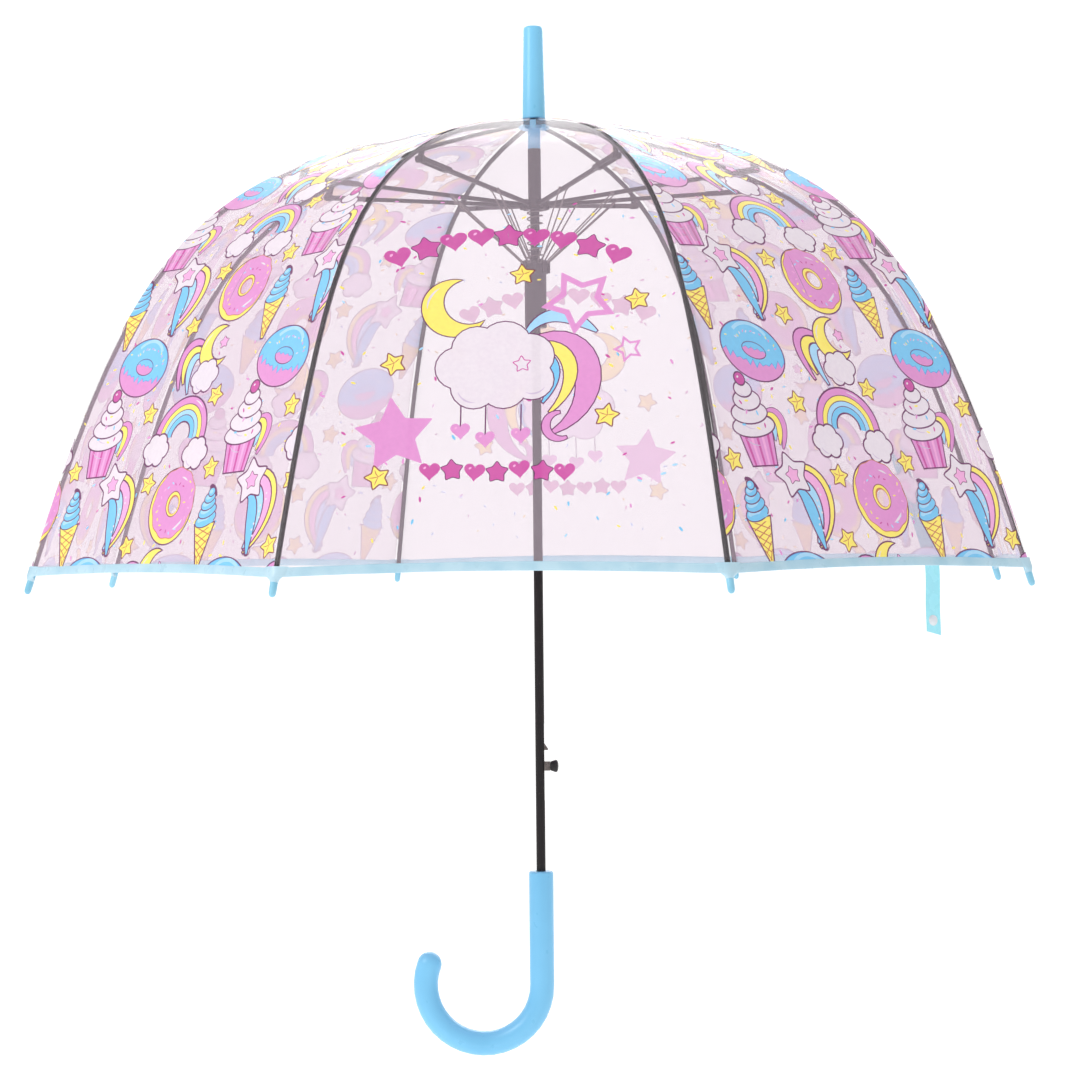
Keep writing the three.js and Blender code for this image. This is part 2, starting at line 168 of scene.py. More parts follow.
def billow(a, t):
    """How far the film stands off its flat shape, a millimetres beside the middle line."""
    across = min(1.0, abs(a) / max(half_width(t), 1e-6))
    free = (1 - across**2) * math.sin(math.pi * min(1.0, t / HEM_T)) ** 0.5
    waves = math.sin(a / 9.0 + 11 * t) * math.sin(21 * t)
    return -PANEL_SAG * free + RIPPLE * free * waves


def panel_point(panel, a, t, lift=0.0):
    """Point of a panel in metres: a is sideways from its middle line, seen from outside."""
    r, z = canopy_point(t, lift + billow(a, t))
    middle = r * COS_HALF
    azimuth = panel * SECTOR
    x = middle * math.cos(azimuth) - a * math.sin(azimuth)
    y = middle * math.sin(azimuth) + a * math.cos(azimuth)
    return Vector((x, y, z)) * MM


def rib_point(rib, beside, t, lift=0.0, fold=1.0):
    """Point on the film beside a rib, in metres; fold 1 follows both panels' slope."""
    r, z = canopy_point(t, lift)
    r -= abs(beside) * math.tan(HALF) * fold
    azimuth = (rib - 0.5) * SECTOR
    x = r * math.cos(azimuth) - beside * math.sin(azimuth)
    y = r * math.sin(azimuth) + beside * math.cos(azimuth)
    return Vector((x, y, z)) * MM


# Distance along the middle line, measured up from the hem, against the canopy parameter.
_samples = np.linspace(HEM_MID_T, 0, 400)
_line = np.array([canopy_point(t) for t in _samples])
_steps = np.hypot(np.diff(_line[:, 0]) * COS_HALF, np.diff(_line[:, 1]))
_heights = np.concatenate([[0], np.cumsum(_steps)])
PANEL_LENGTH = float(_heights[-1])


def t_at_length(b):
    """Canopy parameter at a distance up the middle line from the hem."""
    if b < 0:
        return HEM_MID_T - b * (HEM_MID_T - _samples[1]) / _heights[1]
    return float(np.interp(b, _heights, _samples))


def length_at_t(t):
    """The opposite of t_at_length."""
    if t > HEM_MID_T:
        return (HEM_MID_T - t) * _heights[1] / (HEM_MID_T - _samples[1])
    return float(np.interp(-t, -_samples, _heights))


# ---- panels and their halves -----------------------------------------------------------
# Panel k lies between rib k and rib k + 1. Its half beside rib k is that rib's half "b".
HALVES = [(rib, side) for rib in range(1, RIBS + 1) for side in "ab"]


def panel_of(rib, side):
    """The panel that a rib's half belongs to."""
    return rib if side == "b" else (rib - 2) % RIBS + 1


def follow_fold(piece):
    """Bakes a canopy piece's placement into its mesh."""
    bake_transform(piece)


# ---- mesh helpers ----------------------------------------------------------------------
def link_object(name, data):
    thing = bpy.data.objects.new(name, data)
    bpy.context.scene.collection.objects.link(thing)
    return thing


def make_object(name, points, faces, material, smooth_angle=None):
    mesh = bpy.data.meshes.new(name)
    mesh.from_pydata([tuple(p) for p in points], [], faces)
    mesh.validate()
    mesh.update()
    piece = link_object(name, mesh)
    mesh.materials.append(material)
    if smooth_angle is not None:
        mesh.shade_smooth()
        mesh.set_sharp_from_angle(angle=math.radians(smooth_angle))
    return piece


def shell(name, inner, outer, material, smooth_angle=50):
    """Closed sheet between two grids of points with the same rows and columns."""
    rows, columns = len(inner), len(inner[0])
    points = [p for row in inner for p in row] + [p for row in outer for p in row]
    count = rows * columns
    faces = []
    for i in range(rows - 1):
        for j in range(columns - 1):
            a = i * columns + j
            quad = (a, a + columns, a + columns + 1, a + 1)
            faces.append(quad)
            faces.append(tuple(k + count for k in reversed(quad)))
    rim = list(range(columns))
    rim += [i * columns + columns - 1 for i in range(1, rows)]
    rim += [(rows - 1) * columns + j for j in range(columns - 2, -1, -1)]
    rim += [i * columns for i in range(rows - 2, 0, -1)]
    for a, b in zip(rim, rim[1:] + rim[:1]):
        faces.append((a, b, b + count, a + count))
    piece = make_object(name, points, faces, material, smooth_angle)
    fix_normals(piece)
    return piece


def fix_normals(piece):
    """Turns a closed mesh's faces outwards."""
    mesh = piece.data
    mesh.calc_loop_triangles()
    total = 0.0
    for tri in mesh.loop_triangles:
        p, q, r = (mesh.vertices[k].co for k in tri.vertices)
        total += p.dot(q.cross(r))
    if total < 0:
        mesh.flip_normals()


def loft(name, rings, material, smooth_angle=50):
    """Closed tube through rings of points, with a flat cap at each end."""
    n = len(rings[0])
    points = [p for ring in rings for p in ring]
    faces = []
    for i in range(len(rings) - 1):
        for k in range(n):
            a, b = i * n + k, i * n + (k + 1) % n
            faces.append((a, b, b + n, a + n))
    faces.append(tuple(range(n - 1, -1, -1)))
    faces.append(tuple(range((len(rings) - 1) * n, len(rings) * n)))
    piece = make_object(name, points, faces, material, smooth_angle)
    fix_normals(piece)
    return piece


def smooth_copy(node, material, angle=32):
    """The CAD node with its facets welded and shaded round, standing for the node."""
    source = frame["nodes"][node].data
    slots, points, faces = {}, [], []
    index = []
    for v in source.vertices:
        key = tuple(round(c * 1e6) for c in v.co)
        if key not in slots:
            slots[key] = len(points)
            points.append(v.co.copy())
        index.append(slots[key])
    for polygon in source.polygons:
        corners = [index[k] for k in polygon.vertices]
        if len(set(corners)) == len(corners):
            faces.append(corners)
    piece = make_object(f"{node}_finish", points, faces, material, angle)
    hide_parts(node)
    return piece


# ---- materials -------------------------------------------------------------------------
def linear(red, green, blue):
    """Linear colour from 0-255 display values."""
    def channel(v):
        v /= 255
        return v / 12.92 if v <= 0.04045 else ((v + 0.055) / 1.055) ** 2.4
    return (channel(red), channel(green), channel(blue), 1.0)


class Material:
    """A Principled material with helpers for its procedural detail."""

    def __init__(self, name, colour, roughness, **sockets):
        self.material = bpy.data.materials.new(name)
        self.material.use_nodes = True
        self.nodes = self.material.node_tree.nodes
        self.links = self.material.node_tree.links
        self.shader = self.nodes["Principled BSDF"]
        self.shader.inputs["Base Color"].default_value = colour
        self.shader.inputs["Roughness"].default_value = roughness
        self.colour = colour
        for socket, value in sockets.items():
            self.shader.inputs[socket.replace("_", " ")].default_value = value
        self.place = self.nodes.new("ShaderNodeTexCoord").outputs["Object"]

    def noise(self, scale, detail=3.0, stretch=None):
        texture = self.nodes.new("ShaderNodeTexNoise")
        texture.inputs["Scale"].default_value = scale
        texture.inputs["Detail"].default_value = detail
        source = self.place
        if stretch:
            mapping = self.nodes.new("ShaderNodeMapping")
            mapping.inputs["Scale"].default_value = stretch
            self.links.new(source, mapping.inputs["Vector"])
            source = mapping.outputs["Vector"]
        self.links.new(source, texture.inputs["Vector"])
        return texture.outputs["Fac"]

    def spread(self, value, low, high, start=0.3, end=0.7):
        """Maps a 0-1 value to low..high."""
        node = self.nodes.new("ShaderNodeMapRange")
        node.inputs["From Min"].default_value = start
        node.inputs["From Max"].default_value = end
        node.inputs["To Min"].default_value = low
        node.inputs["To Max"].default_value = high
        self.links.new(value, node.inputs["Value"])
        return node.outputs["Result"]

    def rough(self, value, low, high):
        self.links.new(self.spread(value, low, high), self.shader.inputs["Roughness"])

    def tint(self, value, other, start=0.35, end=0.75):
        """Mixes the base colour towards another where value is high."""
        mix = self.nodes.new("ShaderNodeMix")
        mix.data_type = "RGBA"
        mix.inputs["A"].default_value = self.colour
        mix.inputs["B"].default_value = other
        self.links.new(self.spread(value, 0, 1, start, end), mix.inputs["Factor"])
        self.links.new(mix.outputs["Result"], self.shader.inputs["Base Color"])

    def bump(self, value, strength, distance=0.0004):
        node = self.nodes.new("ShaderNodeBump")
        node.inputs["Strength"].default_value = strength
        node.inputs["Distance"].default_value = distance
        self.links.new(value, node.inputs["Height"])
        self.links.new(node.outputs["Normal"], self.shader.inputs["Normal"])


def blue_plastic(name, colour, deeper, scale):
    """Glossy pale blue moulding, faintly clouded and finely textured."""
    m = Material(name, colour, 0.33, Coat_Weight=0.17)
    m.tint(m.noise(scale), deeper, 0.4, 0.85)
    m.rough(m.noise(140, 4), 0.26, 0.42)
    m.bump(m.noise(1000, 2), 0.08)
    return m.material


def black_enamel():
    m = Material("black_enamel", linear(26, 21, 23), 0.44, Specular_IOR_Level=0.32)
    m.tint(m.noise(900, 5), linear(66, 58, 56), 0.62, 0.8)
    m.rough(m.noise(300, 4), 0.38, 0.55)
    m.bump(m.noise(1500, 3, (1, 1, 0.15)), 0.12)
    return m.material


def black_plastic():
    m = Material("black_moulding", linear(26, 24, 27), 0.5, Specular_IOR_Level=0.35)
    m.tint(m.noise(220, 4), linear(44, 40, 44), 0.5, 0.8)
    m.rough(m.noise(260, 4), 0.38, 0.58)
    m.bump(m.noise(1600, 3), 0.15)
    return m.material


def drawn_steel():
    m = Material("drawn_wire", linear(122, 114, 112), 0.3, Metallic=0.85)
    m.tint(m.noise(400, 5), linear(84, 78, 76), 0.4, 0.75)
    m.rough(m.noise(700, 4), 0.24, 0.45)
    m.bump(m.noise(2500, 2), 0.15)
    return m.material


def clear_film(name, colour, alpha):
    m = Material(name, colour, 0.16, Alpha=alpha)
    m.rough(m.noise(14, 4), 0.1, 0.24)
    m.bump(m.noise(16, 3, (1, 1, 0.45)), 0.2, 0.004)
    return m.material


def weld_film():
    m = Material("weld_film", linear(220, 210, 218), 0.3, Alpha=0.03)
    m.rough(m.noise(90, 4), 0.24, 0.4)
    m.bump(m.noise(1400, 1, (1, 1, 3)), 0.35)
    return m.material


def hem_film():
    m = Material("hem_binding", linear(200, 233, 248), 0.3, Alpha=0.9, Coat_Weight=0.2)
    m.tint(m.noise(70, 3), linear(174, 218, 238), 0.4, 0.8)
    m.rough(m.noise(160, 3), 0.24, 0.42)
    m.bump(m.noise(260, 3), 0.3)
    return m.material


def strap_film():
    m = Material("strap_film", linear(162, 246, 255), 0.22, Alpha=0.82, Coat_Weight=0.2)
    m.tint(m.noise(30, 2, (1, 1, 0.4)), linear(168, 238, 252), 0.35, 0.75)
    m.rough(m.noise(120, 3), 0.18, 0.34)
    m.bump(m.noise(180, 3), 0.2)
    return m.material


def clear_snap():
    m = Material("clear_snap", linear(240, 244, 246), 0.2, Alpha=0.82, Coat_Weight=0.4)
    m.rough(m.noise(300, 3), 0.16, 0.32)
    m.bump(m.noise(900, 2), 0.1)
    return m.material


def backing_ink():
    """Thin white under the inks, with the same weak painted glow, an emission standing in for light
    passing through.
    """
    m = Material("print_backing", linear(250, 238, 250), 0.5, Alpha=0.28, Emission_Strength=0.42)
    m.shader.inputs["Emission Color"].default_value = m.colour
    m.rough(m.noise(200, 3), 0.42, 0.6)
    m.bump(m.noise(1500, 2), 0.08)
    return m.material


def ink(name, alpha):
    """Printed ink, coloured face by face; its weak emission is a painted glow standing in for the
    light that it lets through.
    """
    m = Material(name, (1, 1, 1, 1), 0.35, Alpha=alpha, Emission_Strength=0.15)
    colour = m.nodes.new("ShaderNodeAttribute")
    colour.attribute_name = "ink"
    mix = m.nodes.new("ShaderNodeMix")
    mix.data_type = "RGBA"
    mix.blend_type = "MULTIPLY"
    mix.inputs["B"].default_value = (0.92, 0.9, 0.93, 1)
    m.links.new(m.spread(m.noise(420, 3), 0, 0.6), mix.inputs["Factor"])
    m.links.new(colour.outputs["Color"], mix.inputs["A"])
    m.links.new(mix.outputs["Result"], m.shader.inputs["Base Color"])
    # The same colour feeds the emission: painted glow for backlight through the ink.
    m.links.new(mix.outputs["Result"], m.shader.inputs["Emission Color"])
    m.rough(m.noise(200, 3), 0.28, 0.44)
    m.bump(m.noise(1500, 2), 0.08)
    return m.material


# ---- print: flat shapes in painting order ----------------------------------------------
INKS = {
    "plum": (104, 36, 92), "magenta": (202, 74, 160), "pink": (223, 144, 205),
    "rose": (240, 170, 218), "yellow": (253, 233, 104), "amber": (196, 118, 70),
    "rust": (132, 66, 70), "sky": (116, 198, 240), "ice": (166, 216, 246),
    "blue": (88, 158, 220), "pale": (232, 222, 230), "shade": (206, 188, 212),
}
CLEAR = None
LINE = 1.1


def ellipse(x, y, rx, ry, tilt=0.0, n=28, wobble=0.0, lobes=9):
    """Tilted ellipse of n points, with a wavy edge where wobble is given."""
    points = []
    c, s = math.cos(tilt), math.sin(tilt)
    for k in range(n):
        angle = math.tau * k / n
        grow = 1 + wobble * math.sin(lobes * angle)
        u, v = rx * grow * math.cos(angle), ry * grow * math.sin(angle)
        points.append((x + u * c - v * s, y + u * s + v * c))
    return points


def star_points(x, y, radius, tilt=0.0, waist=0.5):
    """Five-pointed star; waist is the inner corners' share of the radius."""
    points = []
    for k in range(10):
        angle = tilt + math.pi / 2 + math.pi * k / 5
        r = radius if k % 2 == 0 else radius * waist
        points.append((x + r * math.cos(angle), y + r * math.sin(angle)))
    return points


def rounded(points, share=0.22):
    """Cuts each corner of a polygon with a short curve."""
    result = []
    n = len(points)
    for k, (x, y) in enumerate(points):
        px, py = points[k - 1]
        qx, qy = points[(k + 1) % n]
        a = (x + (px - x) * share, y + (py - y) * share)
        b = (x + (qx - x) * share, y + (qy - y) * share)
        result += [a, ((a[0] + b[0] + 2 * x) / 4, (a[1] + b[1] + 2 * y) / 4), b]
    return result


def curve(p0, p1, p2, p3, n=16):
    """Points along a cubic Bezier."""
    points = []
    for k in range(n + 1):
        t = k / n
        s = 1 - t
        points.append(tuple(
            s**3 * a + 3 * s * s * t * b + 3 * s * t * t * c + t**3 * d
            for a, b, c, d in zip(p0, p1, p2, p3)
        ))
    return points


def signed_area(points):
    """Area of a polygon, above 0 where it runs anticlockwise."""
    total = 0.0
    for (x0, y0), (x1, y1) in zip(points, points[1:] + points[:1]):
        total += x0 * y1 - x1 * y0
    return total / 2


def grown(points, width):
    """Polygon moved outwards by width, for the line round a shape."""
    if signed_area(points) < 0:
        points = points[::-1]
    n = len(points)
    result = []
    for k in range(n):
        here = Vector(points[k])
        d0 = (here - Vector(points[k - 1])).normalized()
        d1 = (Vector(points[(k + 1) % n]) - here).normalized()
        normal = Vector((d0.y + d1.y, -d0.x - d1.x))
        if normal.length < 1e-6:
            normal = Vector((d0.y, -d0.x))
        normal.normalize()
        reach = width / max(0.5, normal.dot(Vector((d0.y, -d0.x))))
        result.append(tuple(here + normal * reach))
    return result


def stroke(points, width, ends=0.35):
    """Line that thins from width in the middle to a share of it at its ends."""
    left, right = [], []
    n = len(points)
    for k, point in enumerate(points):
        a, b = Vector(points[max(k - 1, 0)]), Vector(points[min(k + 1, n - 1)])
        d = (b - a).normalized()
        taper = ends + (1 - ends) * math.sin(math.pi * k / (n - 1))
        offset = Vector((-d.y, d.x)) * width / 2 * taper
        left.append(tuple(Vector(point) + offset))
        right.append(tuple(Vector(point) - offset))
    return left + right[::-1]


def arc(x, y, radius, start, end, n=14):
    return [
        (x + radius * math.cos(start + (end - start) * k / n),
         y + radius * math.sin(start + (end - start) * k / n))
        for k in range(n + 1)
    ]


def band(x, y, inner, outer, start, end, n=14):
    """Part of a ring between two radii and two angles."""
    return arc(x, y, outer, start, end, n) + arc(x, y, inner, end, start, n)


def crescent(x, y, radius, bite, gap, tilt):
    """A round with a smaller round of radius bite cut from it, gap away towards tilt."""
    reach = (gap * gap + radius * radius - bite * bite) / (2 * gap)
    height = math.sqrt(radius * radius - reach * reach)
    outer, inner = math.atan2(height, reach), math.atan2(height, reach - gap)
    cx, cy = x + gap * math.cos(tilt), y + gap * math.sin(tilt)
    back = arc(x, y, radius, tilt + outer, tilt + math.tau - outer, 28)
    front = arc(cx, cy, bite, tilt - inner, tilt - math.tau + inner, 24)
    return back + front[1:-1]


class Sheet:
    """Collects painted shapes in panel coordinates: sideways, and up from the hem."""

    def __init__(self):
        self.shapes = []
        self.at(0, 0)

    def at(self, x, y, tilt=0.0, size=1.0):
        """The shapes painted next are placed here, turned and scaled."""
        self.origin = (x, y)
        self.turn = (size * math.cos(tilt), size * math.sin(tilt))

    def paint(self, colour, points):
        (x, y), (c, s) = self.origin, self.turn
        placed = [(x + u * c - v * s, y + u * s + v * c) for u, v in points]
        if signed_area(placed) < 0:
            placed = placed[::-1]
        self.shapes.append((colour, placed))

    def outlined(self, colour, points, line="plum", width=LINE):
        """A filled shape on a slightly larger one, which shows as a line round it."""
        self.paint(line, grown(points, width))
        self.paint(colour, points)

    def blobs(self, bumps, fill="pale", line=LINE):
        """Overlapping rounds with one line round them all."""
        for x, y, r in bumps:
            self.paint("plum", ellipse(x, y, r + line, r + line, n=20))
        for x, y, r in bumps:
            self.paint(fill, ellipse(x, y, r, r, n=20))

    def small_star(self):
        self.outlined("yellow", rounded(star_points(0, 0, 7.2, 0, 0.52), 0.16), "rust", 0.75)
        for turn in (0.35, 1.6, 2.9, 4.1):
            tip = (4.6 * math.cos(turn), 4.6 * math.sin(turn))
            middle = (tip[0] * 0.5, tip[1] * 0.5)
            self.paint("amber", stroke([(0.6, 0.3), middle, tip], 0.6, 0.5))

    def cloud(self, x, y, size=1.0):
        shape = ((-7, -1, 5), (-3.5, 4, 5), (3, 4.5, 5.2), (7.4, 0, 4.8), (4, -5.2, 4.8),
                 (-3.4, -5.4, 4.8), (0, 0, 6))
        self.blobs([(x + u * size, y + v * size, r * size) for u, v, r in shape])
        self.paint("shade", stroke(arc(x, y - size, 7.5 * size, -2.6, -1.7, 6), 0.8, 0.3))

    def rainbow(self):
        start, end = -0.1, math.pi + 0.1
        edges = (25.0, 20.6, 17.0, 13.6, 9.8)
        self.paint("plum", band(0, 0, edges[-1] - LINE, edges[0] + LINE, start, end, 24))
        for k, colour in enumerate(("pink", "yellow", "ice", "sky")):
            self.paint(colour, band(0, 0, edges[k + 1], edges[k], start, end, 24))
            if k:
                self.paint("plum", stroke(arc(0, 0, edges[k], start, end, 24), 0.55, 0.8))
        self.paint("pale", stroke(arc(0, 0, 23.4, 0.9, 1.35, 5), 0.9, 0.3))
        self.cloud(-20.5, -9, 1.0)
        self.cloud(21, -10, 0.98)

    def pink_donut(self):
        self.outlined("yellow", ellipse(-0.8, -1.0, 21, 23.4, 0.2, 40), "plum", 0.9)
        glaze = ellipse(0.6, 0.8, 19.8, 21.8, 0.2, 72, 0.022, 11)
        self.outlined("pink", glaze, "amber", 0.5)
        for k in range(22):
            angle, reach = k * 2.4, 11.5 + 7 * ((k * 0.37) % 1)
            x, y = reach * math.cos(angle), reach * 1.08 * math.sin(angle)
            colour = ("yellow", "rose", "ice", "magenta")[k % 4]
            self.paint(colour, ellipse(x, y, 1.25, 0.5, angle * 1.7, 8))
        self.paint("pale", stroke(arc(0, 0, 16.5, -1.3, -0.7, 8), 1.5, 0.2))
        self.paint("pale", stroke(arc(0, 0, 17.2, 0.9, 1.3, 6), 1.1, 0.2))
        self.outlined("yellow", ellipse(0.6, 0.2, 6.6, 7.6, 0.2, 26), "rust", 0.6)
        self.paint("amber", ellipse(0.9, -0.2, 5.3, 6.2, 0.2, 24))
        self.paint(CLEAR, ellipse(1.3, -0.6, 4.6, 5.4, 0.2, 22))

    def blue_donut(self):
        self.outlined("pink", ellipse(0, 0, 25, 19.5, 0, 44), "plum", 0.9)
        drips = [
            (24.6 * math.cos(v), 19.1 * math.sin(v)) for v in np.linspace(-0.12, math.pi + 0.2, 30)
        ]
        for k in range(1, 19):
            x = -24 + 48.6 * k / 19
            sag = -3.2 - 5.2 * math.sin(math.pi * k / 19)
            drips.append((x, sag + (1.7 if k % 2 else -1.3) + 1.2 * math.sin(k * 2.3)))
        self.outlined("sky", drips, "blue", 0.5)
        self.paint("ice", band(0, 1.5, 15.8, 18.2, 0.75, 2.5, 12))
        for k in range(14):
            angle = 0.25 + 2.7 * ((k * 0.618) % 1)
            reach = 12 + 7 * ((k * 0.37) % 1)
            x, y = reach * 1.15 * math.cos(angle), reach * 0.8 * math.sin(angle) + 1
            colour = ("pale", "pink", "yellow")[k % 3]
            self.paint(colour, ellipse(x, y, 1.1, 0.45, angle * 2.3, 8))
        self.outlined("pink", ellipse(1, 0.4, 9.2, 5.2, 0, 26), "plum", 0.6)
        hang = [
            (1 + 9 * math.cos(v), 0.4 + 5 * math.sin(v))
            for v in np.linspace(0.05, math.pi - 0.05, 12)
        ]
        hang += [
            (-7.2, 1.2), (-5.4, 2.3), (-3.2, 0.8), (-1, 2.4), (1.6, 1.0), (4.2, 2.4), (6.6, 1.0),
            (8.6, 1.9),
        ]
        self.outlined("sky", hang, "blue", 0.4)

    def cone(self):
        wafer = [(-9.3, 0.5), (9.3, 0.5), (0.9, -27), (-0.9, -27)]
        self.outlined("yellow", wafer)
        for k in range(1, 6):
            high, edge = -0.2 - 4.7 * (k - 1), 9.1 * (1 - (k - 1) / 6)
            low, far = high - 6.6, 9.1 * (1 - (k + 0.6) / 6)
            self.paint("amber", stroke([(-edge, high), (far, low)], 0.7, 1))
            self.paint("amber", stroke([(edge, high), (-far, low)], 0.7, 1))
        self.paint("yellow", [(-9.3, 0.5), (9.3, 0.5), (8.6, -2), (-8.6, -2)])
        curl = curve((6.5, 17), (3, 24), (-3, 26), (-1, 21))
        curl += curve((-1, 22), (-5, 28), (5, 28), (7.5, 18))
        self.paint("plum", curl)
        swirls = (
            (0, 3.6, 9.6, 4.4), (0.4, 8.8, 8.2, 4.0), (0, 13.4, 6.6, 3.6), (0.5, 17.4, 4.8, 3.1),
            (1.4, 20.8, 2.9, 2.5),
        )
        for k, (x, y, rx, ry) in enumerate(swirls):
            self.outlined("sky", ellipse(x, y, rx, ry, 0.2, 26), "plum", 0.75)
            self.paint("ice", ellipse(x - rx * 0.22, y + ry * 0.12, rx * 0.62, ry * 0.5, 0.2, 20))
        self.paint("sky", ellipse(0.5, 1.4, 8, 1.5, 0.05, 14))

    def comet(self):
        """A star with four coloured ribbons streaming down from it."""
        ribbons = (
            ("yellow", curve((-6, 24), (27, 24), (26, -12), (3, -31)), 8.5),
            ("rose", curve((-6, 19), (19, 20), (19, -10), (3, -29)), 10),
            ("ice", curve((-7, 14), (11, 14), (11, -12), (2, -28)), 8.5),
            ("sky", curve((-8, 8), (4, 6), (3, -14), (7, -32)), 9),
        )
        for colour, line, width in ribbons:
            self.outlined(colour, stroke(line, width, 0.12))
        for k in range(8):
            x = 13 - k * 0.9 + 2 * math.sin(k * 2)
            self.paint("pale", ellipse(x, 8 - k * 4, 0.8, 0.8, 0, 8))
        self.paint("plum", stroke(arc(7, -30, 3.2, math.pi, math.tau + 0.6, 8), 1.0, 0.4))
        self.outlined("pale", rounded(star_points(-7, 17, 16, 0.25, 0.56), 0.2))
        self.outlined("rose", rounded(star_points(-7, 17, 6.4, 0.25, 0.56), 0.2), "plum", 0.5)

    def cupcake(self):
        wrapper = [(-16, -8), (-11.5, -33), (11.5, -33), (16, -8)]
        self.outlined("pink", wrapper)
        for k in range(-2, 3):
            top, foot = 5.6 * k, 4.3 * k
            fold = [(top - 1.2, -9), (foot - 0.9, -33), (foot + 0.9, -33), (top + 1.2, -9)]
            self.paint("rose" if k % 2 else "magenta", fold)
        ribbons = (
            ("pink", curve((10, 2), (30, 12), (32, -6), (22, -22)), 7),
            ("yellow", curve((10, 0), (25, 8), (26, -8), (20, -19)), 6),
            ("ice", curve((9, -2), (20, 4), (20, -8), (17, -16)), 5),
        )
        for colour, line, width in ribbons:
            self.outlined(colour, stroke(line, width, 0.15), "plum", 0.6)
        layers = ((0, -5, 20, 7.6), (-0.5, 4.5, 17, 7.6), (0.6, 13.5, 12.6, 7), (0, 21.5, 8, 5.4))
        for x, y, rx, ry in layers:
            self.outlined("pale", ellipse(x, y, rx, ry, 0.06, 30))
            self.paint("shade", stroke(arc(x, y + 1, rx * 0.75, -2.4, -1.5, 6), 0.8, 0.3))
        crumbs = (
            (-9, -4, "sky"), (4, -7, "yellow"), (-3, 5, "pink"), (7, 4, "sky"), (0, 13, "yellow"),
            (-6, 12, "magenta"), (11, -5, "magenta"),
        )
        for x, y, colour in crumbs:
            self.paint(colour, ellipse(x, y, 1.9, 0.8, x * 0.7, 10))
        self.outlined("magenta", ellipse(0, 29, 4.4, 4.4, 0, 18))
        self.paint("pale", ellipse(-1.2, 30.4, 1.1, 0.8, 0.6, 8))

    def moon(self):
        """A crescent over a cloud, with ribbons trailing from it."""
        ribbons = (
            ("pink", curve((0, 8), (-26, 26), (-34, 2), (-22, -22)), 7),
            ("yellow", curve((-2, 4), (-20, 16), (-27, 0), (-18, -18)), 6.5),
            ("ice", curve((-3, 0), (-14, 8), (-20, -4), (-10, -26)), 6.5),
        )
        for colour, line, width in ribbons:
            self.outlined(colour, stroke(line, width, 0.14))
        self.outlined("yellow", crescent(9, 8, 17, 13.5, 8.5, 0.3))
        self.paint("pale", stroke(arc(9, 8, 14.2, 2.2, 3.1, 8), 1.2, 0.2))
        self.cloud(6, -14, 1.25)
        self.outlined("rose", rounded(star_points(17, 11, 5, 0.2, 0.55), 0.2), "plum", 0.5)

    def heart(self, size, colour, line="plum"):
        points = []
        for k in range(26):
            v = math.tau * k / 26
            u = 16 * math.sin(v) ** 3
            w = 13 * math.cos(v) - 5 * math.cos(2 * v) - 2 * math.cos(3 * v) - math.cos(4 * v)
            points.append((size * u / 16, size * (w + 2) / 16))
        self.outlined(colour, points, line, 0.5)
        self.paint("rose", ellipse(-size * 0.45, size * 0.4, size * 0.16, size * 0.1, 0.7, 9))

    def sprinkles(self, count, low, high):
        """Loose short strokes, away from the panel's edges."""
        self.at(0, 0)
        for _ in range(count):
            b = random.uniform(low, high)
            a = random.uniform(-0.96, 0.96) * half_width(t_at_length(b))
            colour = random.choice(("pink", "yellow", "sky", "magenta", "ice", "yellow"))
            size = random.uniform(1.2, 1.8)
            self.paint(colour, ellipse(a, b, size, size * 0.42, random.uniform(0, math.pi), 9))


PICTURE_PANELS = 2, 6
REPEAT = 143, 142
# Motif, its place across and up the panel, its tilt and its size.
MOTIFS = (
    ("rainbow", -2, 82, -0.05, 1), ("pink_donut", 10, 39, 0.1, 1),
    ("cone", 48, 26, 0.1, 0.96), ("comet", -53, 37, 0, 0.9),
    ("cupcake", 62, 86, 0.05, 0.85), ("blue_donut", -64, 129, -0.2, 0.97),
    ("moon", -1, 132, 0.05, 0.85), ("small_star", 39, 61, 0.2, 1),
    ("small_star", -21, 52, -0.2, 1), ("small_star", -27, 13, 0.4, 1),
    ("small_star", 23, 107, -0.3, 1), ("small_star", -40, 97, 0.1, 1),
)
# Heights of the picture's parts above the frame's origin.
PICTURE_TOP_Z = 420
BOW_Z = 392
CLOUD_Z = 317
LOWER_ROW_Z = 254


def scatter_print():
    """The dense repeating print of six of the panels."""
    sheet = Sheet()
    sheet.sprinkles(300, 6, PANEL_LENGTH - 20)
    for row in range(-1, 4):
        for column in (-1, 0, 1):
            for motif, a, b, tilt, size in MOTIFS:
                sheet.at(a + column * REPEAT[0], b + row * REPEAT[1], tilt, size)
                getattr(sheet, motif)()
    return sheet


def at_height(z):
    """Distance up a panel's middle line of a height above the frame's origin."""
    return length_at_t(t_at_height(z))


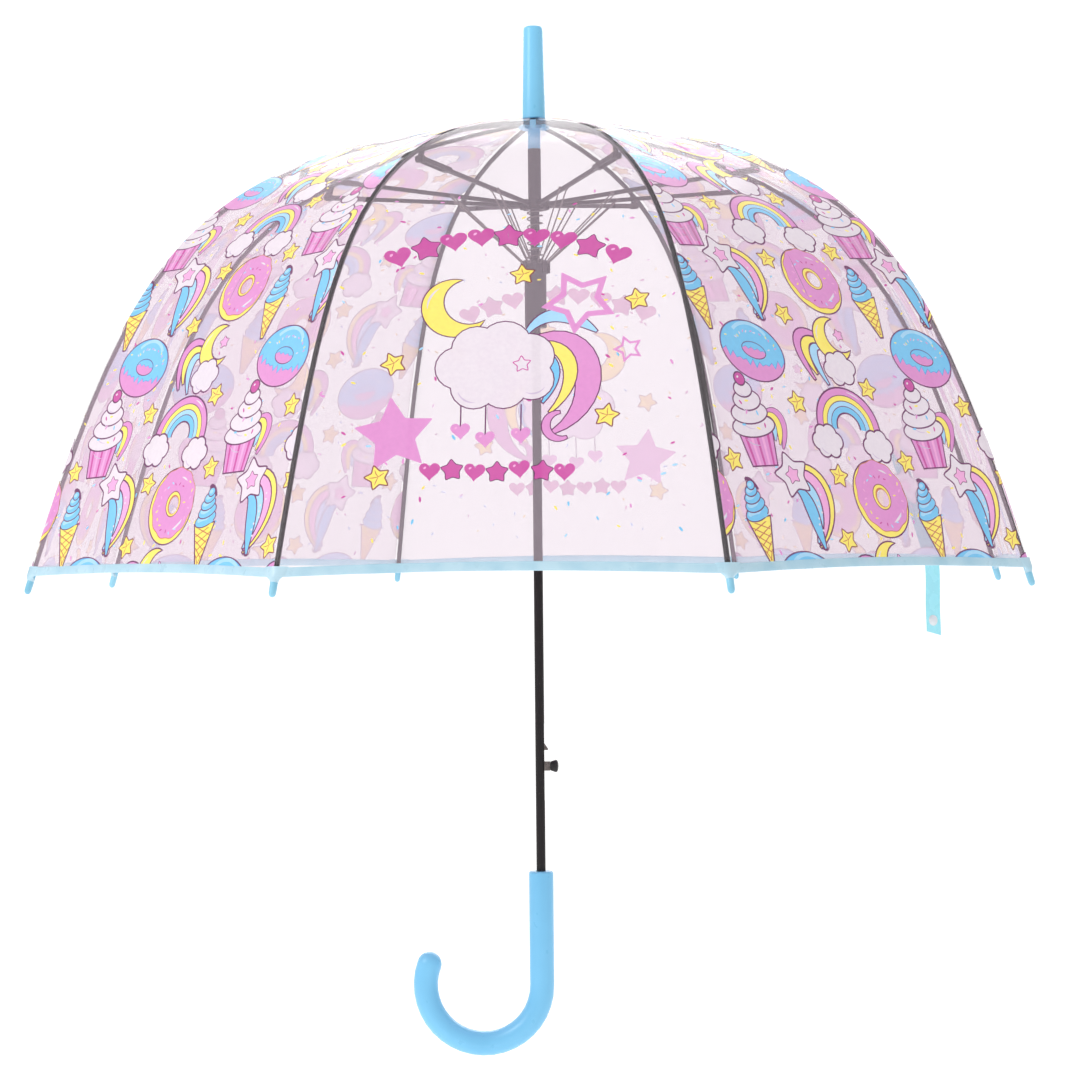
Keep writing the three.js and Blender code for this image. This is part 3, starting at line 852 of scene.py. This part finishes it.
def picture_print():
    """The single large picture of the front and back panels."""
    sheet = Sheet()
    sheet.sprinkles(105, 14, at_height(PICTURE_TOP_Z))
    # A bow of hearts above, and a row of hearts below.
    for k in range(9):
        share = k / 4 - 1
        sheet.at(63 * share, at_height(BOW_Z - 13 * share * share), -0.32 * share)
        if k % 3 == 1:
            sheet.outlined("magenta", rounded(star_points(0, 0, 9.4, 0, 0.56), 0.25), "plum", 0.5)
        else:
            sheet.heart(8, "magenta")
    for k in range(7):
        b = at_height(LOWER_ROW_Z) + math.sin(k * 1.9)
        sheet.at(-3 + 12.6 * (k - 3), b, 0.1 * math.sin(k * 2.1))
        if k % 2:
            sheet.outlined("magenta", rounded(star_points(0, 0, 6.6, 0, 0.58), 0.25), "plum", 0.5)
        else:
            sheet.heart(6, "magenta")

    # Ribbons of colour arching out of a large cloud, under a crescent.
    sheet.at(2, at_height(CLOUD_Z))
    ribbons = (
        ("ice", curve((8, 14), (22, 40), (40, 26), (50, 18)), 8),
        ("pink", curve((6, 8), (44, 32), (62, -24), (26, -44)), 15),
        ("yellow", curve((8, 8), (34, 18), (46, -10), (24, -32)), 8),
        ("sky", curve((8, 4), (25, 8), (32, -8), (20, -26)), 7),
    )
    for colour, line, width in ribbons:
        sheet.outlined(colour, stroke(line, width, 0.14), "plum", 0.7)
    sheet.outlined("pink", stroke(arc(30, -40, 8, 1.6, 5.2, 14), 4.5, 0.3), "plum", 0.6)
    sheet.outlined("yellow", crescent(-31, 35, 19, 15.5, 9.5, 0.45), "plum", 0.7)
    sheet.paint("pale", stroke(arc(-31, 35, 16, 2.2, 3.2, 10), 1.4, 0.2))
    sheet.blobs((
        (-28, -4, 13), (-18, 8, 14), (-2, 10, 15), (12, 3, 14), (14, -12, 12), (-2, -16, 13),
        (-19, -16, 13), (-8, -4, 18),
    ), "pale", 0.7)
    sheet.paint("shade", stroke(arc(-19, -16, 9.5, -2.8, -1.5, 10), 1.0, 0.2))
    sheet.paint("shade", stroke(arc(14, -12, 8.5, -2.0, -0.6, 10), 1.0, 0.2))
    sheet.outlined("pale", rounded(star_points(8, -2, 5, 0.1, 0.5), 0.2), "magenta", 0.6)
    threads = ((-26, 16), (-12, 21), (8, 19))
    for x, drop in threads:
        sheet.paint("plum", stroke([(x, -27), (x, -29), (x, -25 - drop)], 0.8, 1))
    for x, drop in threads:
        sheet.at(2 + x, at_height(CLOUD_Z) - 27 - drop, 0.05)
        sheet.heart(5.6, "pink")

    # Large stars: place, size, tilt, waist, and the line's width where a star is hollow.
    large_stars = (
        (-61, 275, 23.6, 0.12, 0.5, 0), (42, 352, 22.5, 0.5, 0.54, 4),
        (70, 323, 9, 0.35, 0.52, 1.6),
    )
    for x, z, size, tilt, waist, line in large_stars:
        sheet.at(x, at_height(z), tilt)
        sheet.paint("pink", rounded(star_points(0, 0, size, 0, waist), 0.06))
        if line:
            hollow = size - line / math.sin(0.62)
            sheet.paint(CLEAR, rounded(star_points(0, 0, hollow, 0, waist), 0.06))
    small_stars = (
        (9, 368, 0.1), (75, 352, 0.2), (-63, 316, 0.45), (58, 285, -0.2), (-70, 251, 0.3),
    )
    for x, z, tilt in small_stars:
        sheet.at(x, at_height(z), tilt)
        sheet.small_star()
    return sheet


def half_outline(side):
    """A panel half's flat outline in panel coordinates, clear of the binding."""
    turn = -1 if side == "b" else 1
    top = 0.012
    edge = []
    for k in range(49):
        t = top + (HEM_T - top) * k / 48
        edge.append((turn * (half_width(t) - PRINT_EDGE_GAP), length_at_t(t)))
    points = [(0, length_at_t(top)), *edge, (0, 0)]
    return points if signed_area(points) > 0 else points[::-1]


def triangulate(sheet):
    """Cuts the painted shapes at each other's edges. Returns points and, for each half,
    its triangles as (three indices, ink name)."""
    points, faces = [], []

    def add(polygon):
        first = len(points)
        points.extend(Vector(p) for p in polygon)
        faces.append(list(range(first, first + len(polygon))))

    for side in "ba":
        add(half_outline(side))
    for _, polygon in sheet.shapes:
        add(polygon)
    # Extra points so that large fills still follow the curved film.
    pitch = PRINT_MESH_PITCH
    for i in range(int(PANEL_LENGTH / pitch)):
        b = i * pitch
        reach = int(half_width(t_at_length(b)) / pitch)
        points.extend(Vector((j * pitch + 0.3, b)) for j in range(-reach, reach + 1))
    made = geometry.delaunay_2d_cdt(points, [], faces, 0, 1e-4, True)
    flat, triangles, owners = made[0], made[2], made[5]
    halves = {"a": [], "b": []}
    for corners, covers in zip(triangles, owners):
        painted = [k for k in covers if k >= 2]
        side = "b" if 0 in covers else "a" if 1 in covers else None
        if side is None or not painted:
            continue
        colour = sheet.shapes[max(painted) - 2][0]
        if colour is not CLEAR:
            halves[side].append((tuple(corners), colour))
    return flat, halves


def print_mesh_data(panel, flat, triangles, lift):
    """Points and faces of a layer of print that stands lift millimetres off the film."""
    used = sorted({k for corners, _ in triangles for k in corners})
    where = {k: i for i, k in enumerate(used)}
    points = [panel_point(panel, flat[k][0], t_at_length(flat[k][1]), lift) for k in used]
    faces = [tuple(where[k] for k in corners) for corners, _ in triangles]
    return points, faces


def print_backing(name, panel, flat, triangles, material):
    """The white layer under the inks, which is what shows of a print from inside."""
    points, faces = print_mesh_data(panel, flat, triangles, -PRINT_LIFT)
    piece = make_object(name, points, [corners[::-1] for corners in faces], material)
    piece.data.shade_smooth()
    return piece


def print_object(name, panel, flat, triangles, inks):
    """The inks, with each face's colour in the mesh attribute that the material reads."""
    points, faces = print_mesh_data(panel, flat, triangles, PRINT_LIFT)
    mesh = bpy.data.meshes.new(name)
    mesh.from_pydata([tuple(p) for p in points], [], faces)
    mesh.update()
    colours = mesh.attributes.new("ink", "FLOAT_COLOR", "CORNER")
    values = []
    for _, colour in triangles:
        values += list(linear(*INKS[colour])) * 3
    colours.data.foreach_set("color", values)
    for material in inks:
        mesh.materials.append(material)
    pale = [1 if colour == "pale" else 0 for _, colour in triangles]
    mesh.polygons.foreach_set("material_index", pale)
    mesh.shade_smooth()
    return link_object(name, mesh)


# ---- canopy pieces ---------------------------------------------------------------------
def beside_rib(rib, point):
    """Sideways distance of a point, in metres, from a rib's plane, in millimetres."""
    azimuth = (rib - 0.5) * SECTOR
    return abs(point.y * math.cos(azimuth) - point.x * math.sin(azimuth)) / MM


def film_half(rib, side, film, weld):
    """Half a panel's film, with a clear strip where it is welded along the rib."""
    panel = panel_of(rib, side)
    turn = -1 if side == "b" else 1
    rows, columns = 48, 14
    grids = {-1: [], 1: []}
    for i in range(rows + 1):
        lines = {-1: [], 1: []}
        for j in range(columns + 1):
            share = (j - 1) / (columns - 1)
            if j < 2:
                reach = half_width(HEM_T * i / rows)
                share = j * min(0.25, SEAM_HALF_WIDTH / max(reach, 1))
            t = hem_t(share) * i / rows
            for face in (-1, 1):
                lift = face * FILM_HALF_THICKNESS
                r = canopy_point(t, lift)[0]
                a = turn * (1 - share) * r * SIN_HALF
                lines[face].append(panel_point(panel, a, t, lift))
        for face in (-1, 1):
            grids[face].append(lines[face])
    piece = shell(f"film_{rib}{side}_sheet", grids[-1], grids[1], film)
    piece.data.materials.append(weld)
    for polygon in piece.data.polygons:
        middle = sum((piece.data.vertices[k].co for k in polygon.vertices), Vector()) / 4
        if beside_rib(rib, middle) < SEAM_HALF_WIDTH:
            polygon.material_index = 1
    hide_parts(f"panel_{rib}{side}")
    follow_fold(piece)
    return piece


def squared(value, power):
    """A sine or cosine drawn towards its ends, which squares a round section."""
    return math.copysign(abs(value) ** power, value)


def hem_half(rib, side, material):
    """Half a panel's length of binding, folded over the film's edge."""
    panel = panel_of(rib, side)
    turn = -1 if side == "b" else 1
    steps, corners = 18, 14
    squareness, standoff, ripple = 0.6, 0.12, 0.25
    rings = []
    for j in range(steps + 1):
        share = j / steps
        edge_t = hem_t(share)
        wave = ripple * math.sin(math.pi * share) * math.sin(5 * math.pi * share)
        ring = []
        for k in range(corners):
            angle = math.tau * k / corners
            up = BINDING_HALF_HEIGHT * squared(math.sin(angle), squareness)
            off = BINDING_HALF_THICKNESS * squared(math.cos(angle), squareness)
            off += standoff + wave * up / BINDING_HALF_HEIGHT
            b = length_at_t(edge_t) + up
            t = t_at_length(b)
            a = turn * (1 - share) * canopy_point(t, off)[0] * SIN_HALF
            ring.append(panel_point(panel, a, t, off))
        rings.append(ring)
    piece = loft(f"hem_{rib}{side}_binding", rings, material)
    follow_fold(piece)
    return piece


def weld_seam(rib, material):
    """Narrow double layer of film over a rib, where two panels are welded."""
    rows, reach = 60, WELD_HALF_WIDTH
    places = (-reach, -reach * 0.5, 0, reach * 0.5, reach)
    swell = (0.2, 0.34, 0.4, 0.34, 0.2)
    inner, outer = [], []
    for i in range(rows + 1):
        t = 0.01 + (HEM_T - 0.018) * i / rows
        inner.append([rib_point(rib, s, t, -0.12) for s in places])
        outer.append([rib_point(rib, s, t, h) for s, h in zip(places, swell)])
    piece = shell(f"weld_{rib}_seam", inner, outer, material)
    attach(piece, f"rib_{rib}")
    return piece


def hem_tab(rib, material):
    """The binding's ends, gathered round the rib just above its tip."""
    # Height over the film's edge, half width, half depth, standoff, and how far it folds.
    sections = (
        (3.4, 7.6, 0.85, 0.25, 1.0), (1.4, 7.8, 0.95, 0.2, 1.0), (-1.4, 7.0, 1.0, 0.1, 0.95),
        (-2.6, 4.7, 1.5, -0.6, 0.7), (-3.6, 3.0, 2.2, -1.6, 0.3), (-4.4, 2.5, 2.3, -2.1, 0.0),
        (-5.0, 2.2, 2.1, -2.2, 0.0),
    )
    edge = length_at_t(HEM_T)
    rings = []
    for up, wide, deep, off, fold in sections:
        t = t_at_length(edge + up)
        ring = []
        for k in range(16):
            angle = math.tau * k / 16
            beside = wide * squared(math.cos(angle), 0.75)
            lift = off + deep * math.sin(angle) + 0.15 * math.sin(3 * angle + up)
            ring.append(rib_point(rib, beside, t, lift, fold))
        rings.append(ring)
    piece = loft(f"hem_{rib}_tab", rings, material)
    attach(piece, f"rib_{rib}")
    return piece


def strap_point(along, z, lift):
    """Point of the closing strap, in metres: on the film above the hem, hanging below it."""
    t = t_at_height(max(z, HEM_Z + 1))
    below = max(HEM_Z + 1 - z, 0)
    r = canopy_point(t)[0]
    a = along + STRAP_FROM_RIB - r * SIN_HALF
    point = panel_point(1, a, t, lift)
    flare = STRAP_FLARE * (1 - math.exp(-below / 16)) + 0.35 * math.sin(below / 7)
    out = Vector((math.cos(SECTOR), math.sin(SECTOR), 0))
    return point + (out * flare - Vector((0, 0, below))) * MM


def closing_strap(film, snap):
    """The strap with its raised edges, and the snap at its end."""
    rows, half = 70, STRAP_WIDTH / 2
    places = (-half, -half * 0.82, -half * 0.72, 0, half * 0.72, half * 0.82, half)
    lifts = (0.95, 1.0, 0.86, 0.86, 0.86, 1.0, 0.95)
    inner, outer = [], []
    for i in range(rows + 1):
        z = STRAP_TOP_Z + (STRAP_END_Z - STRAP_TOP_Z) * i / rows
        slant = -STRAP_SLANT * (i / rows) ** 8
        drop = [slant * (0.5 - s / STRAP_WIDTH) for s in places]
        inner.append([strap_point(s, z + d, 0.6) for s, d in zip(places, drop)])
        outer.append([strap_point(s, z + d, h) for s, h, d in zip(places, lifts, drop)])
    strap = shell("closing_strap", inner, outer, film)
    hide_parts("strap")
    follow_fold(strap)

    centre = strap_point(0, SNAP_Z, SNAP_LIFT)
    out = Vector((math.cos(SECTOR), math.sin(SECTOR), 0))
    aside = Vector((-math.sin(SECTOR), math.cos(SECTOR), 0))
    up = Vector((0, 0, 1))
    # The snap turned about its own axis: radius, and height off the strap's middle.
    profile = (
        (0.02, -1.3), (1.6, -1.3), (2.4, -1.0), (3.2, -0.55), (3.9, -0.45), (4.1, -0.2),
        (4.1, 0.35), (3.8, 0.75), (3.1, 0.95), (2.4, 0.75), (2.0, 0.5), (1.3, 0.5), (0.9, 0.8),
        (0.02, 0.9),
    )
    corners = 28
    rings = []
    for r, h in profile:
        ring = []
        for k in range(corners):
            angle = math.tau * k / corners
            round_it = aside * r * math.cos(angle) + up * r * math.sin(angle)
            ring.append(centre + (out * h + round_it) * MM)
        rings.append(ring)
    button = loft("strap_snap_finish", rings, snap, 60)
    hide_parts("strap_snap")
    follow_fold(button)
    return strap, button


def build_canopy():
    films = {
        "picture": clear_film("clear_film", linear(226, 209, 222), 0.19),
        # The scatter panels' film is darker, pinker and less clear: painted shade standing in for
        # the stronger veil of film seen at a grazing angle.
        "scatter": clear_film("scatter_film_painted_shade", linear(222, 198, 215), 0.25),
    }
    weld, hem, backing = weld_film(), hem_film(), backing_ink()
    inks = (ink("print_ink", 0.93), ink("print_pale", 0.88))
    sheets = {"scatter": triangulate(scatter_print()), "picture": triangulate(picture_print())}
    for rib, side in HALVES:
        panel = panel_of(rib, side)
        print_kind = "picture" if panel in PICTURE_PANELS else "scatter"
        sheet = film_half(rib, side, films[print_kind], weld)
        binding = hem_half(rib, side, hem)
        flat, halves = sheets[print_kind]
        layers = (
            print_object(f"print_{rib}{side}", panel, flat, halves[side], inks),
            print_backing(f"print_{rib}{side}_backing", panel, flat, halves[side], backing),
        )
        for layer in layers:
            follow_fold(layer)
    for rib in range(1, RIBS + 1):
        weld_seam(rib, weld)
        hem_tab(rib, hem)
    strap, button = closing_strap(strap_film(), clear_snap())


# ---- hard parts ------------------------------------------------------------------------
def finish_hard_parts():
    """Each hard CAD node gets a welded, smoothly shaded skin in its own material."""
    handle_blue = blue_plastic("moulded_blue", linear(124, 200, 241), linear(114, 190, 232), 18)
    # The ferrule gets a lighter copy of the handle's moulding: painted light on the same plastic,
    # not a different colour.
    ferrule_blue_painted_light = blue_plastic("ferrule_blue_painted_light", linear(136, 216, 255), linear(128, 208, 250), 18)
    tip_blue = blue_plastic("tip_blue", linear(150, 213, 238), linear(112, 184, 216), 60)
    looks = {
        "blue_plastic": handle_blue, "black_metal": black_enamel(),
        "black_plastic": black_plastic(), "spring_steel": drawn_steel(),
    }
    slots = {p["node"]: p["material_slot"] for p in frame["record"]["subparts"]}
    body_of = {n: b for b, ns in frame["record"]["behaviour"]["bodies"].items() for n in ns}
    for node, slot in sorted(slots.items()):
        if slot not in looks:
            continue
        material = looks[slot]
        if node.startswith("rib_tip"):
            material = tip_blue
        elif node == "ferrule":
            material = ferrule_blue_painted_light
        piece = smooth_copy(node, material)
        if node == "mainspring":
            squash_spring(piece)
        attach(piece, body_of[node])


def squash_spring(piece):
    """Gives the spring's skin a mesh of its own, after reading the CAD spring's box."""
    low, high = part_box("mainspring")
    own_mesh(piece)


# ---- stage, light, camera --------------------------------------------------------------
def build_stage():
    """A pale floor that curves up into a backdrop behind the object."""
    profile = [(FLOOR_FRONT, 0.0), (COVE_START, 0.0)]
    for v in np.linspace(0.1, math.pi / 2, 12):
        profile.append((COVE_START + COVE_RADIUS * math.sin(v), COVE_RADIUS * (1 - math.cos(v))))
    profile.append((COVE_START + COVE_RADIUS, BACKDROP_TOP))
    floor_z = cad_box[0].z - FLOOR_DROP
    points = [
        (x, y, floor_z + z) for y, z in profile for x in (-FLOOR_HALF_WIDTH, FLOOR_HALF_WIDTH)
    ]
    faces = [(2 * k, 2 * k + 1, 2 * k + 3, 2 * k + 2) for k in range(len(profile) - 1)]
    mesh = bpy.data.meshes.new("floor")
    mesh.from_pydata(points, [], faces)
    mesh.shade_smooth()
    floor = link_object("floor", mesh)
    paper = Material("pale_paper", (0.95, 0.95, 0.95, 1), 0.8, Emission_Strength=0.27)
    paper.shader.inputs["Emission Color"].default_value = (1, 1, 1, 1)
    paper.rough(paper.noise(30), 0.75, 0.85)
    mesh.materials.append(paper.material)


def area_light(name, place, size, power):
    light = bpy.data.lights.new(name, "AREA")
    light.shape = "RECTANGLE"
    light.size, light.size_y = size
    light.energy = power
    lamp = link_object(name, light)
    lamp.location = place
    lamp.rotation_euler = (Vector(LIGHT_TARGET) - Vector(place)).to_track_quat("-Z", "Y").to_euler()


def build_lights():
    world = bpy.data.worlds.new("studio")
    bpy.context.scene.world = world
    world.use_nodes = True
    background = world.node_tree.nodes["Background"]
    background.inputs["Color"].default_value = (1, 1, 1, 1)
    background.inputs["Strength"].default_value = 0.74
    area_light("key", (-1.9, -1.5, 1.6), size=(1.0, 1.4), power=22)
    area_light("back", (0.2, 2.2, 1.5), size=(2.4, 1.4), power=26)


def build_camera():
    data = bpy.data.cameras.new("camera")
    data.lens = CAMERA_LENS
    data.sensor_width = 36
    data.shift_x = CAMERA_SHIFT_X
    data.clip_start, data.clip_end = 0.05, 50
    camera = link_object("camera", data)
    out = Vector((math.sin(CAMERA_AZIMUTH), -math.cos(CAMERA_AZIMUTH), 0))
    camera.location = out * CAMERA_DISTANCE + Vector((0, 0, CAMERA_HEIGHT))
    facing = (-out).to_track_quat("-Z", "Y").to_matrix()
    camera.rotation_euler = (facing @ Matrix.Rotation(CAMERA_ROLL, 3, "Z")).to_euler()
    bpy.context.scene.camera = camera


build_camera()
build_canopy()
finish_hard_parts()
build_stage()
build_lights()
bpy.context.scene.view_settings.view_transform = "Standard"
bpy.context.scene.cycles.transparent_max_bounces = 40
